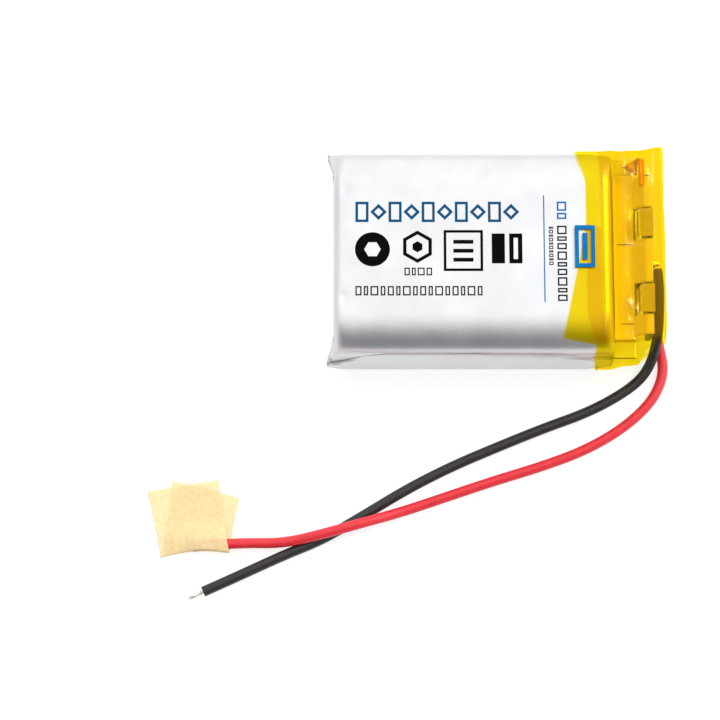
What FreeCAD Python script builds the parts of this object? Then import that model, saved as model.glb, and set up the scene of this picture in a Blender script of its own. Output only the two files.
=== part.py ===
"""Lithium-polymer pouch cell with a protection board and two soldered leads, in millimetres.

+X points to the terminal end, +Z is up, and the origin lies on the supporting surface under
the middle of the cell. The cell is a wound electrode stack in a folded film pouch. Its two
tabs leave through the sealed terrace and are bent over the top of an upright board, and
polyimide tape holds the board to the cell.
"""
import FreeCAD, Part
import math
import os

import Sketcher
from FreeCAD import Placement, Rotation, Vector

doc = FreeCAD.newDocument("pouch_cell")

# ---------------------------------------------------------------- driving dimensions

DIMENSIONS = {
    # pouch
    "cell_length": 35.0,
    "cell_width": 24.0,
    "cell_height": 10.0,
    "fold_end": -18.9,
    "terrace_length": 2.8,
    "film": 0.15,
    "shoulder": 3.2,
    "base_round": 1.6,
    "fold_round": 1.5,
    "wall_round": 1.1,
    "flap_rise": 2.2,
    "flap_gap": 0.05,
    "ear_reach": 0.6,
    "ear_side": 0.35,
    "ear_root": 1.4,
    "ear_tuck": 0.05,
    "web_tuck": 0.08,
    # wound stack
    "roll_start": -17.9,
    "roll_end": 12.3,
    "roll_flat": 14.0,
    "roll_turns": 11,
    "core_gap": 0.08,
    "separator_skin": 0.03,
    "cathode_skin": 0.135,
    "anode_skin": 0.145,
    "layer_gap": 0.01,
    "closing_tape": 0.05,
    "closing_tape_reach": 6.0,
    "closing_tape_setback": 2.0,
    # tabs and their sealing strips
    "tab_width": 3.0,
    "tab_skin": 0.1,
    "tab_inner_end": 2.0,
    "tab_clearance": 0.2,
    "tab_end_gap": 0.1,
    "positive_tab_side": 3.85,
    "negative_tab_side": -5.1,
    "sealant_width": 4.6,
    "sealant_skin": 0.24,
    "sealant_start": 12.6,
    "sealant_stop": 16.28,
    "paper_width": 19.6,
    "paper_skin": 0.2,
    "paper_setback": 0.2,
    "paper_margin": 0.1,
    # protection board
    "board_inner": 17.3,
    "board_skin": 0.6,
    "board_near": -9.4,
    "board_far": 9.6,
    "board_low": 2.4,
    "board_high": 6.85,
    "board_notch": 0.8,
    "pad_skin": 0.05,
    "tab_riser": 16.42,
    "plate_width": 3.3,
    "plate_skin": 0.15,
    "plate_low": 4.6,
    "plate_reach": 16.6,
    # small parts on the board
    "chip_length": 2.9,
    "chip_depth": 1.6,
    "chip_height": 1.0,
    "chip_lift": 0.05,
    "chip_bevel": 0.12,
    "pin_width": 0.4,
    "pin_pitch": 0.95,
    "pin_span": 2.8,
    "pin_skin": 0.15,
    "passive_length": 1.6,
    "passive_depth": 0.8,
    "passive_height": 0.45,
    "passive_cap": 0.3,
    "passive_recess": 0.03,
    # tapes
    "tape_skin": 0.06,
    "wrap_start": 10.2,
    "wrap_stop": 19.5,
    "wrap_straight": 2.8,
    "wrap_shoulder": 2.0,
    "wrap_foot": 0.9,
    "wrap_slack": 0.05,
    "mouth_start": 17.0,
    "mouth_side": -8.2,
    "mouth_top": 5.6,
    "patch_turn": -11.8,
    "patch_width": 11.6,
    "patch_reach": 4.6,
    "patch_corner": 10.3,
    "patch_side": 2.8,
    # leads and flag
    "jacket_bore": 0.42,
    "jacket_size": 1.2,
    "wire_size": 0.38,
    "tip_size": 0.44,
    "bare_end": 1.9,
    "black_strip": 1.2,
    "red_strip": 1.0,
    "joint_foot": 0.62,
    "joint_crown": 0.3,
    "joint_height": 0.85,
    "flag_skin": 0.12,
    "flag_base": 0.02,
    "flag_top": 1.42,
    # how far fused pieces run into each other, cutters run past, and faces stay apart
    "weld": 0.1,
    "beyond": 1.0,
    "clearance": 0.01,
}

sheet = doc.addObject("Spreadsheet::Sheet", "dims")
for row, (alias, number) in enumerate(DIMENSIONS.items(), start=1):
    sheet.set(f"A{row}", alias)
    sheet.set(f"B{row}", str(number))
    sheet.setAlias(f"B{row}", alias)
doc.recompute()

# Places that several pieces share, as sheet expressions.
MID_HEIGHT = "(dims.cell_height / 2)"
END_WALL = "(dims.fold_end + dims.cell_length - dims.terrace_length)"
TERRACE_EDGE = "(dims.fold_end + dims.cell_length)"
HALF_WIDTH = "(dims.cell_width / 2)"
BOARD_FACE = "(dims.board_inner + dims.board_skin)"
PAD_FACE = "(dims.board_inner + dims.board_skin + dims.pad_skin)"
PLATE_FACE = "(dims.board_inner + dims.board_skin + dims.pad_skin + dims.plate_skin)"
TAB_TOP = "(dims.board_high + dims.tab_clearance)"
TAB_SIDES = {"positive": "dims.positive_tab_side", "negative": "dims.negative_tab_side"}

parts = []


def value(expression):
    """The number that a sheet expression gives now."""
    return float(sheet.evalExpression(str(expression)))


def keep(shape_object, label):
    """Mark an object as a sub-part under its own name."""
    shape_object.Label = label
    parts.append(shape_object)
    return shape_object


# ---------------------------------------------------------------- modelling helpers

def box(name, low, high):
    """A Part::Box between two corners given as sheet expressions."""
    block = doc.addObject("Part::Box", name)
    for side, axis, start, stop in zip(("Length", "Width", "Height"), "xyz", low, high):
        block.setExpression(side, f"({stop}) - ({start})")
        block.setExpression(f"Placement.Base.{axis}", str(start))
    return block


def cut(name, base, tool):
    """Base less tool."""
    result = doc.addObject("Part::Cut", name)
    result.Base = base
    result.Tool = tool
    return result


def fuse(name, pieces):
    """All pieces as one solid."""
    result = doc.addObject("Part::MultiFuse", name)
    result.Shapes = pieces
    return result


def group(name, pieces):
    """Separate solids in one node."""
    result = doc.addObject("Part::Compound", name)
    result.Links = pieces
    return result


def plane_of(body, role):
    """One of a body's own origin planes."""
    for feature in body.Origin.OriginFeatures:
        if feature.Role == role:
            return feature
    raise RuntimeError(f"{body.Name} has no {role}")


def polygon_body(name, role, corners, depth, start="0", midplane=False):
    """A PartDesign body: one polygon sketch bound to the sheet, padded along the plane's normal."""
    body = doc.addObject("PartDesign::Body", name)
    sketch = body.newObject("Sketcher::SketchObject", name + "_outline")
    sketch.AttachmentSupport = [(plane_of(body, role), "")]
    sketch.MapMode = "FlatFace"
    sketch.setExpression("AttachmentOffset.Base.z", str(start))
    spots = [Vector(value(across), value(up), 0) for across, up in corners]
    for number, spot in enumerate(spots):
        sketch.addGeometry(Part.LineSegment(spot, spots[(number + 1) % len(spots)]))
    for number, (across, up) in enumerate(corners):
        sketch.addConstraint(
            Sketcher.Constraint("Coincident", number, 2, (number + 1) % len(spots), 1))
        for kind, expression in (("DistanceX", across), ("DistanceY", up)):
            constraint = Sketcher.Constraint(kind, number, 1, value(expression))
            index = sketch.addConstraint(constraint)
            sketch.setExpression(f"Constraints[{index}]", str(expression))
    pad = body.newObject("PartDesign::Pad", name + "_pad")
    pad.Profile = sketch
    pad.Midplane = midplane
    pad.setExpression("Length", str(depth))
    doc.recompute()
    return body


def rectangle(low_across, low_up, high_across, high_up):
    """Corners of a rectangle for polygon_body, counter-clockwise."""
    return [(low_across, low_up), (high_across, low_up),
            (high_across, high_up), (low_across, high_up)]


def round_edges(body, name, radius, wanted, kind="PartDesign::Fillet"):
    """Fillet or chamfer the edges of the body's tip whose bounding boxes pass a test."""
    base = body.Tip
    names = [f"Edge{number}" for number, edge in enumerate(base.Shape.Edges, start=1)
             if wanted(edge.BoundBox)]
    feature = body.newObject(kind, name)
    feature.Base = (base, names)
    size = "Radius" if kind == "PartDesign::Fillet" else "Size"
    feature.setExpression(size, str(radius))
    doc.recompute()
    return feature


# ---------------------------------------------------------------- film pouch

def pillow(name, inset):
    """The pouch's drawn body as a solid, its faces moved in by the inset."""
    corners = rectangle(f"-{HALF_WIDTH} + {inset}", inset,
                        f"{HALF_WIDTH} - {inset}", f"dims.cell_height - {inset}")
    start = f"dims.fold_end + {inset}"
    body = polygon_body(name, "YZ_Plane", corners,
                        f"{END_WALL} - {inset} - ({start})", start=start)
    near_end = value(f"{start} + dims.clearance")
    far_end = value(f"{END_WALL} - {inset} - dims.clearance")
    middle = value(MID_HEIGHT)
    low_edge = value(f"{inset} + dims.clearance")
    long_edge = value("dims.cell_length / 2")
    round_edges(body, name + "_shoulders", f"dims.shoulder - {inset}",
                lambda bounds: bounds.XLength > long_edge and bounds.ZMin > middle)
    round_edges(body, name + "_base_rounds", f"dims.base_round - {inset}",
                lambda bounds: bounds.XLength > long_edge and bounds.ZMax < low_edge)
    round_edges(body, name + "_fold_round", f"dims.fold_round - {inset}",
                lambda bounds: bounds.XMax < near_end)
    round_edges(body, name + "_wall_round", f"dims.wall_round - {inset}",
                lambda bounds: bounds.XMin > far_end)
    return body


def ear(name, side, low, high):
    """The horn that the folded film leaves at a corner of the fold end."""
    outer = f"{side} * ({HALF_WIDTH} + dims.ear_side)"
    inner = f"{side} * ({HALF_WIDTH} - dims.ear_root)"
    corners = [("dims.fold_end - dims.ear_reach", outer),
               ("dims.fold_end + dims.ear_root", f"{side} * ({HALF_WIDTH} - dims.ear_tuck)"),
               ("dims.fold_end + dims.weld", inner)]
    return polygon_body(name, "XY_Plane", corners, f"({high}) - ({low})", start=low)


def side_flap(name, side, low, high, wall_low, offset):
    """One ply of a side seal, from its web at mid height to its edge folded up the wall."""
    face = f"{HALF_WIDTH} + dims.flap_gap + {offset}"
    spans = {1: (face, f"{face} + dims.film"), -1: (f"-({face} + dims.film)", f"-({face})")}
    webs = {1: (f"{HALF_WIDTH} - dims.web_tuck", f"{face} + dims.film"),
            -1: (f"-({face} + dims.film)", f"-({HALF_WIDTH} - dims.web_tuck)")}
    first = "dims.fold_end + dims.fold_round"
    upright = box(name + "_upright", (first, spans[side][0], wall_low),
                  (END_WALL, spans[side][1], f"{MID_HEIGHT} + dims.flap_rise"))
    web = box(name + "_web", (first, webs[side][0], low), (END_WALL, webs[side][1], high))
    return [upright, web]


def pouch_half(label, upper):
    """A drawn half of the pouch with its share of the terrace, side seals and fold ears."""
    ply = (MID_HEIGHT, f"{MID_HEIGHT} + dims.film")
    if not upper:
        ply = (f"{MID_HEIGHT} - dims.film", MID_HEIGHT)
    reach = f"{HALF_WIDTH} + dims.beyond"
    keeper_z = ("-dims.beyond", MID_HEIGHT)
    if upper:
        keeper_z = (MID_HEIGHT, "dims.cell_height + dims.beyond")
    keeper = box(label + "_keeper", ("dims.fold_end - dims.beyond", f"-({reach})", keeper_z[0]),
                 (f"{END_WALL} + dims.clearance", reach, keeper_z[1]))
    drawn = doc.addObject("Part::Common", label + "_drawn")
    drawn.Base = pillow(label + "_outside", "0")
    drawn.Tool = keeper
    pieces = [drawn]
    pieces.append(box(label + "_terrace",
                      (f"{END_WALL} - dims.weld", f"-{HALF_WIDTH}", ply[0]),
                      (TERRACE_EDGE, HALF_WIDTH, ply[1])))
    for side in (1, -1):
        offset = "0" if upper else "dims.film"
        wall_low = MID_HEIGHT if upper else ply[0]
        name = f"{label}_flap_{'far' if side > 0 else 'near'}"
        pieces += side_flap(name, side, ply[0], ply[1], wall_low, offset)
        pieces.append(ear(f"{label}_ear_{'far' if side > 0 else 'near'}", side, ply[0], ply[1]))
    recesses = []
    for polarity, centre in TAB_SIDES.items():
        half = "(dims.sealant_width / 2)"
        deep = "(dims.sealant_skin / 2)"
        skin = f"({deep} + dims.film)"
        bump_z = (MID_HEIGHT, f"{MID_HEIGHT} + {skin}")
        recess_z = (f"{MID_HEIGHT} - dims.weld", f"{MID_HEIGHT} + {deep}")
        if not upper:
            bump_z = (f"{MID_HEIGHT} - {skin}", MID_HEIGHT)
            recess_z = (f"{MID_HEIGHT} - {deep}", f"{MID_HEIGHT} + dims.weld")
        pieces.append(box(f"{label}_bump_{polarity}",
                          (f"{END_WALL} - dims.weld", f"{centre} - {half} - dims.film",
                           bump_z[0]),
                          (TERRACE_EDGE, f"{centre} + {half} + dims.film", bump_z[1])))
        recesses.append(box(f"{label}_recess_{polarity}",
                            (f"{END_WALL} - dims.beyond", f"{centre} - {half}", recess_z[0]),
                            (f"{TERRACE_EDGE} + dims.beyond", f"{centre} + {half}",
                             recess_z[1])))
    if not upper:
        recesses.append(box(label + "_tape_bed",
                            ("dims.wrap_start - dims.weld", f"-{HALF_WIDTH}", "-dims.beyond"),
                            (f"{END_WALL} + dims.weld", HALF_WIDTH,
                             "dims.tape_skin + dims.clearance")))
    hollow = fuse(label + "_hollow", [pillow(label + "_inside", "dims.film")] + recesses)
    keep(cut(label + "_shell", fuse(label + "_body", pieces), hollow), label)


# ---------------------------------------------------------------- wound electrode stack

def winding_edges(radial, turns, pitch, half_flat, core):
    """Edges of a flattened spiral at a radial offset: flat runs joined by half circles."""
    edges = []
    for turn in range(turns + 1):
        reach = core + turn * pitch + radial
        last = (turn == turns)
        edges.append(Part.makeLine(Vector(0, -half_flat, reach), Vector(0, half_flat, reach)))
        edges.append(Part.Arc(Vector(0, half_flat, reach), Vector(0, half_flat + reach, 0),
                              Vector(0, half_flat, -reach)).toShape())
        stop = 0 if last else -half_flat
        edges.append(Part.makeLine(Vector(0, half_flat, -reach), Vector(0, stop, -reach)))
        if not last:
            rise = pitch / 2
            edges.append(Part.Arc(Vector(0, -half_flat, -reach),
                                  Vector(0, -half_flat - reach - rise, rise),
                                  Vector(0, -half_flat, reach + pitch)).toShape())
    return edges


def wound_sheet(label, inner, skin, turns, pitch):
    """One wound layer as a solid from its inner face outwards."""
    half_flat = value("dims.roll_flat / 2")
    core = value("dims.core_gap")
    inside = winding_edges(inner, turns, pitch, half_flat, core)
    outside = winding_edges(inner + skin, turns, pitch, half_flat, core)
    starts = [edges[0].Vertexes[0].Point for edges in (inside, outside)]
    ends = [edges[-1].Vertexes[1].Point for edges in (inside, outside)]
    loop = inside + [Part.makeLine(*ends)] + outside[::-1] + [Part.makeLine(*reversed(starts))]
    face = Part.Face(Part.Wire(Part.__sortEdges__(loop)))
    layer = doc.addObject("Part::Feature", label)
    layer.Shape = face.extrude(Vector(value("dims.roll_end - dims.roll_start"), 0, 0))
    layer.Placement = Placement(Vector(value("dims.roll_start"), 0, value(MID_HEIGHT)),
                                Rotation())
    keep(layer, label)


def electrode_stack():
    """Separator, cathode, separator and anode wound together, and the tape that closes them."""
    turns = int(value("dims.roll_turns"))
    gap = value("dims.layer_gap")
    layers = (("separator_inner", "separator_skin"), ("cathode_sheet", "cathode_skin"),
              ("separator_outer", "separator_skin"), ("anode_sheet", "anode_skin"))
    pitch = sum(value(f"dims.{skin}") + gap for _, skin in layers)
    inner = 0.0
    for label, skin in layers:
        wound_sheet(label, inner, value(f"dims.{skin}"), turns, pitch)
        inner += value(f"dims.{skin}") + gap
    outer = value("dims.core_gap") + turns * pitch + inner
    step = outer - pitch
    tape = "dims.closing_tape"
    reach = "dims.closing_tape_reach"
    corners = [(f"-{reach}", f"{MID_HEIGHT} - {step}"), (f"-{gap}", f"{MID_HEIGHT} - {step}"),
               (f"-{gap}", f"{MID_HEIGHT} - {outer}"), (reach, f"{MID_HEIGHT} - {outer}"),
               (reach, f"{MID_HEIGHT} - {outer} - {tape}"),
               (f"-{gap} - {tape}", f"{MID_HEIGHT} - {outer} - {tape}"),
               (f"-{gap} - {tape}", f"{MID_HEIGHT} - {step} - {tape}"),
               (f"-{reach}", f"{MID_HEIGHT} - {step} - {tape}")]
    keep(polygon_body("winding_tape", "YZ_Plane", corners,
                      "dims.roll_end - dims.roll_start - 2 * dims.closing_tape_setback",
                      start="dims.roll_start + dims.closing_tape_setback"), "winding_tape")


# ---------------------------------------------------------------- tabs through the terrace

def bent_strip(name, label, profile, width, centre):
    """A strip bent in the XZ plane, given by its outline there, centred on one side place."""
    body = polygon_body(name, "XZ_Plane", profile, width, midplane=True)
    body.setExpression("Placement.Base.y", centre)
    return keep(body, label)


def tabs():
    """Aluminium and nickel tabs from the core, out of the seal, up and over the board's edge."""
    half = "dims.tab_skin / 2"
    low = f"{MID_HEIGHT} - {half}"
    high = f"{MID_HEIGHT} + {half}"
    outer = "dims.tab_riser + dims.tab_skin"
    profile = [("dims.tab_inner_end", low), (outer, low), (outer, TAB_TOP),
               (f"{BOARD_FACE} - dims.tab_end_gap", TAB_TOP),
               (f"{BOARD_FACE} - dims.tab_end_gap", f"{TAB_TOP} + dims.tab_skin"),
               ("dims.tab_riser", f"{TAB_TOP} + dims.tab_skin"),
               ("dims.tab_riser", high), ("dims.tab_inner_end", high)]
    for polarity, centre in TAB_SIDES.items():
        bent_strip(f"tab_{polarity}", f"{polarity}_tab", profile, "dims.tab_width", centre)
        half_width = "dims.sealant_width / 2"
        block = box(f"sealant_{polarity}",
                    ("dims.sealant_start", f"{centre} - {half_width}",
                     f"{MID_HEIGHT} - dims.sealant_skin / 2"),
                    ("dims.sealant_stop", f"{centre} + {half_width}",
                     f"{MID_HEIGHT} + dims.sealant_skin / 2"))
        slot = box(f"sealant_slot_{polarity}",
                   ("dims.sealant_start - dims.beyond", f"{centre} - dims.tab_width / 2",
                    low),
                   ("dims.sealant_stop + dims.beyond", f"{centre} + dims.tab_width / 2", high))
        keep(cut(f"sealant_cut_{polarity}", block, slot), f"{polarity}_tab_sealant")


def terrace_paper():
    """White insulating paper over the sealed terrace, resting on the two tab bumps."""
    rest = f"{MID_HEIGHT} + dims.sealant_skin / 2 + dims.film"
    keep(box("paper", (f"{END_WALL} + dims.paper_setback", "-dims.paper_width / 2", rest),
             (f"{TERRACE_EDGE} - dims.paper_margin", "dims.paper_width / 2",
              f"{rest} + dims.paper_skin")), "terrace_paper")


# ---------------------------------------------------------------- protection board

# Middles of the pads on the board's outer face: (side place, height), and their half sizes.
LEAD_PADS = {"black": (-0.8, 5.75), "red": (-4.55, 3.3)}
PAD_HALF = 0.75
CHIPS = {"mosfet": -1.95, "protection_chip": 7.6}
CHIP_HEIGHT = 4.4
RESISTORS = ((1.0, 5.4), (-8.1, 5.4))
CAPACITOR = (1.0, 3.4)


def board():
    """The glass-epoxy strip, notched at its lower corners, and its copper pads."""
    notch = "dims.board_notch"
    corners = [(f"dims.board_near + {notch}", "dims.board_low"),
               (f"dims.board_far - {notch}", "dims.board_low"),
               (f"dims.board_far - {notch}", f"dims.board_low + {notch}"),
               ("dims.board_far", f"dims.board_low + {notch}"),
               ("dims.board_far", "dims.board_high"),
               ("dims.board_near", "dims.board_high"),
               ("dims.board_near", f"dims.board_low + {notch}"),
               (f"dims.board_near + {notch}", f"dims.board_low + {notch}")]
    keep(polygon_body("board", "YZ_Plane", corners, "dims.board_skin",
                      start="dims.board_inner"), "protection_board")
    pads = []
    for polarity, centre in TAB_SIDES.items():
        pads.append(box(f"pad_{polarity}",
                        (BOARD_FACE, f"{centre} - dims.plate_width / 2", "dims.plate_low"),
                        (PAD_FACE, f"{centre} + dims.plate_width / 2", "dims.board_high")))
    for colour, (side, height) in LEAD_PADS.items():
        pads.append(box(f"pad_{colour}", (BOARD_FACE, side - PAD_HALF, height - PAD_HALF),
                        (PAD_FACE, side + PAD_HALF, height + PAD_HALF)))
    keep(group("pads", pads), "copper_pads")


def nickel_plates():
    """Plates soldered to the outer face and folded over the top edge onto the tabs."""
    rest = f"{TAB_TOP} + dims.tab_skin"
    profile = [(PAD_FACE, "dims.plate_low"), (PLATE_FACE, "dims.plate_low"),
               (PLATE_FACE, f"{rest} + dims.plate_skin"),
               ("dims.plate_reach", f"{rest} + dims.plate_skin"),
               ("dims.plate_reach", rest), (PAD_FACE, rest)]
    for polarity, centre in TAB_SIDES.items():
        bent_strip(f"plate_{polarity}", f"nickel_plate_{polarity}", profile,
                   "dims.plate_width", centre)


def chip(name, side):
    """A six-pin package on the board's inner face: its bevelled body and its bent pins."""
    corners = rectangle(f"{side} - dims.chip_length / 2", f"{CHIP_HEIGHT} - dims.chip_depth / 2",
                        f"{side} + dims.chip_length / 2", f"{CHIP_HEIGHT} + dims.chip_depth / 2")
    body = polygon_body(name, "YZ_Plane", corners, "dims.chip_height - dims.chip_lift",
                        start="dims.board_inner - dims.chip_height")
    front = value("dims.board_inner - dims.chip_height + dims.clearance")
    round_edges(body, name + "_bevel", "dims.chip_bevel",
                lambda bounds: bounds.XMax < front, kind="PartDesign::Chamfer")
    keep(body, name + "_body")
    pins = []
    for row in (1, -1):
        root = f"{CHIP_HEIGHT} + {row} * dims.chip_depth / 2"
        tip = f"{CHIP_HEIGHT} + {row} * dims.pin_span / 2"
        knee = f"{CHIP_HEIGHT} + {row} * (dims.chip_depth / 2 + dims.pin_skin)"
        shelf = "dims.board_inner - dims.chip_height / 2"
        foot = "dims.board_inner - dims.pin_skin"
        profile = [(shelf, root), (shelf, knee), (foot, knee), (foot, tip),
                   ("dims.board_inner", tip), ("dims.board_inner", root)]
        for place in (-1, 0, 1):
            pin = polygon_body(f"{name}_pin", "XZ_Plane", profile, "dims.pin_width",
                               midplane=True)
            pin.setExpression("Placement.Base.y", f"{side} + {place} * dims.pin_pitch")
            pins.append(pin)
    keep(group(name + "_pin_set", pins), name + "_pins")


def passive(name, side, height):
    """A two-ended chip part on the inner face, long in Y: its body and its two end caps."""
    half = "dims.passive_length / 2"
    low = f"{height} - dims.passive_depth / 2"
    high = f"{height} + dims.passive_depth / 2"
    front = "dims.board_inner - dims.passive_height"
    body = box(name, (f"{front} + dims.passive_recess", f"{side} - {half} + dims.passive_cap",
                      low),
               ("dims.board_inner - dims.passive_recess",
                f"{side} + {half} - dims.passive_cap", high))
    caps = [box(name + "_cap", (front, f"{side} - {half}", low),
                ("dims.board_inner", f"{side} - {half} + dims.passive_cap", high)),
            box(name + "_cap", (front, f"{side} + {half} - dims.passive_cap", low),
                ("dims.board_inner", f"{side} + {half}", high))]
    return body, caps


def passives():
    """Two sense resistors and the supply capacitor."""
    bodies, caps = [], []
    for side, height in RESISTORS:
        body, ends = passive("resistor", side, height)
        bodies.append(body)
        caps += ends
    keep(group("resistor_group", bodies), "chip_resistors")
    body, ends = passive("capacitor", *CAPACITOR)
    keep(body, "chip_capacitor")
    keep(group("cap_group", caps + ends), "chip_end_caps")


# ---------------------------------------------------------------- leads

# Points that each lead's centre line turns at, from its solder joint to its tip. The line
# is straight between the points' arcs, and the free part lies on the supporting surface.
BLACK_ROUTE = [
    (18.45, -0.30, 5.75), (18.73, -2.70, 5.80), (18.78, -5.20, 5.35), (18.80, -7.50, 4.45),
    (18.70, -9.60, 3.05), (18.20, -11.70, 1.50), (17.00, -13.60, 0.72), (14.40, -15.50, 0.62),
    (10.60, -17.50, 0.62), (5.60, -19.30, 0.62), (0.20, -21.50, 0.62), (-5.20, -23.80, 0.62),
    (-10.30, -26.40, 0.62), (-15.40, -29.50, 0.62), (-20.10, -32.30, 0.62),
    (-24.70, -34.15, 0.62), (-30.20, -36.70, 0.62), (-35.70, -39.15, 0.62),
]
RED_ROUTE = [
    (18.50, -4.20, 3.30), (18.66, -6.40, 2.90), (18.82, -8.60, 1.85), (19.35, -10.40, 1.02),
    (19.70, -12.20, 0.70), (19.25, -14.30, 0.64), (17.80, -16.70, 0.62), (14.60, -19.50, 0.62),
    (10.20, -22.00, 0.62), (5.00, -23.90, 0.62), (-0.60, -25.60, 0.62), (-6.20, -27.50, 0.62),
    (-11.20, -29.20, 0.80), (-15.80, -30.60, 2.90), (-20.00, -31.80, 2.90),
    (-24.70, -32.80, 0.95), (-29.20, -32.75, 0.78), (-33.20, -33.00, 0.78),
    (-37.05, -33.35, 0.78),
]
ARC_SHARE = 0.45


def route_edges(points, name):
    """Straight runs joined by tangent arcs, each arc as large as its two runs allow."""
    points = [Vector(*point) for point in points]
    edges, radii = [], []
    start = points[0]
    for before, corner, after in zip(points, points[1:], points[2:]):
        back = (before - corner).normalize()
        ahead = (after - corner).normalize()
        setback = ARC_SHARE * min(corner.distanceToPoint(before),
                                  corner.distanceToPoint(after))
        turn = math.pi - back.getAngle(ahead)
        radius = setback / math.tan(turn / 2)
        bisector = (back + ahead).normalize()
        entry = corner + back * setback
        leave = corner + ahead * setback
        middle = corner + bisector * (radius / math.cos(turn / 2) - radius)
        edges.append(Part.makeLine(start, entry))
        edges.append(Part.Arc(entry, middle, leave).toShape())
        radii.append(radius)
        start = leave
    edges.append(Part.makeLine(start, points[-1]))
    print(name, "bend radii:", " ".join(f"{radius:.1f}" for radius in radii))
    return edges


def trimmed(edges, head, tail):
    """The same path with its first and last straight runs shortened."""
    first, last = edges[0], edges[-1]
    start = first.valueAt(first.FirstParameter + head)
    stop = last.valueAt(last.LastParameter - tail)
    new_first = Part.makeLine(start, first.valueAt(first.LastParameter))
    new_last = Part.makeLine(last.valueAt(last.FirstParameter), stop)
    return [new_first] + edges[1:-1] + [new_last]


def tube(edges, radius):
    """A round solid of one radius along the path."""
    start = edges[0].valueAt(edges[0].FirstParameter)
    along = edges[0].tangentAt(edges[0].FirstParameter)
    disc = Part.Face(Part.Wire([Part.makeCircle(radius, start, along)]))
    return Part.Wire(edges).makePipe(disc)


def lead(colour, route, head):
    """One insulated lead: its core from the joint to the thicker tinned tip, and its jacket."""
    edges = route_edges(route, colour)
    bare = value("dims.bare_end")
    covered = trimmed(edges, head, bare)
    core_radius = value("dims.wire_size / 2")
    jacket_radius = value("dims.jacket_size / 2")
    bore_radius = value("dims.jacket_bore / 2")
    core = doc.addObject("Part::Feature", colour + "_core")
    last = covered[-1]
    tip = Part.makeCylinder(value("dims.tip_size / 2"), bare, last.valueAt(last.LastParameter),
                            last.tangentAt(last.LastParameter))
    core.Shape = tube(edges, core_radius).fuse(tip).removeSplitter()
    keep(core, colour + "_lead_core")
    jacket = doc.addObject("Part::Feature", colour + "_jacket")
    jacket.Shape = tube(covered, jacket_radius).cut(tube(covered, bore_radius))
    keep(jacket, colour + "_lead_jacket")
    length = Part.Wire(covered).Length
    section = math.pi * (jacket_radius ** 2 - bore_radius ** 2)
    print(f"{colour} jacket length {length:.1f}, whole core {Part.Wire(edges).Length:.1f},",
          f"volume {jacket.Shape.Volume:.3f} against {section * length:.3f}")
    return core


def solder_joint(colour, core):
    """The dome of solder on a lead pad, around the end of the lead's core."""
    side, height = LEAD_PADS[colour]
    dome = doc.addObject("Part::Cone", colour + "_dome")
    dome.setExpression("Radius1", "dims.joint_foot")
    dome.setExpression("Radius2", "dims.joint_crown")
    dome.setExpression("Height", "dims.joint_height")
    dome.Placement = Placement(Vector(value(PAD_FACE), side, height),
                               Rotation(Vector(0, 1, 0), 90))
    keep(cut(colour + "_joint", dome, core), colour + "_solder_joint")


# ---------------------------------------------------------------- tapes

# Cross-sections of the taped end past its straight band, from the cell outwards: how far
# before the band's end, the near side, the bottom, the top and the top corners' radius.
WRAP_TAPER = ((3.1, -12.46, 0.3, 8.7, 1.6), (1.1, -11.8, 0.7, 7.55, 1.2),
              (0.0, -10.6, 1.0, 6.35, 1.0))


def rounded_section(place, low, high, radius, foot):
    """A rounded rectangle across X between two (y, z) corners, with its upper and lower radii."""
    near, bottom = low
    far, top = high
    arcs = []
    for y, z, size, angle in ((far - radius, top - radius, radius, 0),
                              (near + radius, top - radius, radius, 90),
                              (near + foot, bottom + foot, foot, 180),
                              (far - foot, bottom + foot, foot, 270)):
        turn = Rotation(Vector(1, 0, 0), angle)
        lean = size * math.sqrt(0.5)
        spots = [Vector(place, y, z) + turn.multVec(spoke)
                 for spoke in (Vector(0, size, 0), Vector(0, lean, lean), Vector(0, 0, size))]
        arcs.append(Part.Arc(*spots).toShape())
    edges = []
    for arc, following in zip(arcs, arcs[1:] + arcs[:1]):
        edges.append(arc)
        edges.append(Part.makeLine(arc.valueAt(arc.LastParameter),
                                   following.valueAt(following.FirstParameter)))
    return Part.Wire(edges)


def wrap_solid(inset):
    """The taped end as a solid: a band over the cell, then a taper around the board."""
    edge = value(f"{HALF_WIDTH} + dims.flap_gap + 2 * dims.film + dims.tape_skin"
                 " + dims.wrap_slack")
    top = value("dims.cell_height + dims.tape_skin")
    start = value("dims.wrap_start")
    stop = value("dims.wrap_stop")
    straight = value("dims.wrap_straight")
    shoulder = value("dims.wrap_shoulder")
    foot = value("dims.wrap_foot") - inset
    sections = [(start, -edge, 0.0, top, shoulder), (start + straight, -edge, 0.0, top, shoulder)]
    sections += [(stop - back, *section) for back, *section in WRAP_TAPER]
    wires = []
    for place, near, bottom, high, radius in sections:
        if place == stop:
            place -= inset
        wires.append(rounded_section(place, (near + inset, bottom + inset),
                                     (edge - inset, high - inset), radius - inset, foot))
    return Part.makeLoft(wires, True, True)


def polyimide_wrap():
    """The tape band around the terminal end, closed past the board, open where leads leave."""
    shell = wrap_solid(0.0).cut(wrap_solid(value("dims.tape_skin")))
    low = Vector(value("dims.mouth_start"), -value("dims.cell_width"), -value("dims.beyond"))
    high = Vector(value("dims.wrap_stop + dims.beyond"), value("dims.mouth_side"),
                  value("dims.mouth_top"))
    mouth = Part.makeBox(*(high - low), low)
    band = doc.addObject("Part::Feature", "wrap")
    band.Shape = shell.cut(mouth)
    keep(band, "polyimide_wrap")


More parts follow.
